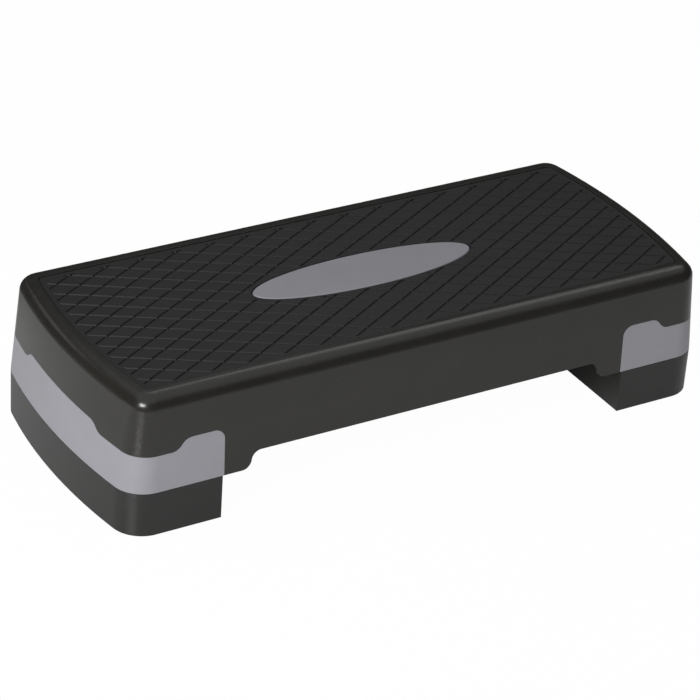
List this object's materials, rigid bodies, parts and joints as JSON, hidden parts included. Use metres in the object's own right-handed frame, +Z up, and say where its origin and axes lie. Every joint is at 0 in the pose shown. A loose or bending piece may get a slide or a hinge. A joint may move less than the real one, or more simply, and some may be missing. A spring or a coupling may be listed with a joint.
{
  "type": "aerobic step platform",
  "caption": "Low step platform with a grooved non-slip top, an oval inlay, grey end bands and plug-in riser feet that set its height.",
  "frame": {"origin": "on the floor, under the middle of the platform", "axes": "+X along the platform, -Y towards its front, +Z up"},
  "size_m": [0.68, 0.28, 0.148],
  "materials": {
    "deck_plastic": "satin",
    "tread_rubber": "matte",
    "grey_plastic": "satin",
    "pad_rubber": "matte",
    "screw_steel": "zinc plated"
  },
  "bodies": {
    "deck": {"deck_shell": "deck_plastic", "rib_lattice": "deck_plastic", "tread_pad": "tread_rubber", "oval_inlay": "grey_plastic", "inlay_screws": "screw_steel", "right_end_band": "grey_plastic", "left_end_band": "grey_plastic", "right_band_screws": "screw_steel", "left_band_screws": "screw_steel", "deck_glide_front_left": "pad_rubber", "deck_glide_front_right": "pad_rubber", "deck_glide_back_left": "pad_rubber", "deck_glide_back_right": "pad_rubber"},
    "left_riser": {"left_foot": "deck_plastic", "left_foot_pad_front_inner": "pad_rubber", "left_foot_pad_front_outer": "pad_rubber", "left_foot_pad_back_inner": "pad_rubber", "left_foot_pad_back_outer": "pad_rubber"},
    "right_riser": {"right_foot": "deck_plastic", "right_foot_pad_front_inner": "pad_rubber", "right_foot_pad_front_outer": "pad_rubber", "right_foot_pad_back_inner": "pad_rubber", "right_foot_pad_back_outer": "pad_rubber"}
  },
  "joints": [
    {"name": "left_foot_pull", "type": "slide", "parent": "deck", "child": "left_riser", "axis": [0, 0, -1], "range_m": [0, 0.06]},
    {"name": "right_foot_pull", "type": "slide", "parent": "deck", "child": "right_riser", "axis": [0, 0, -1], "range_m": [0, 0.06]}
  ]
}
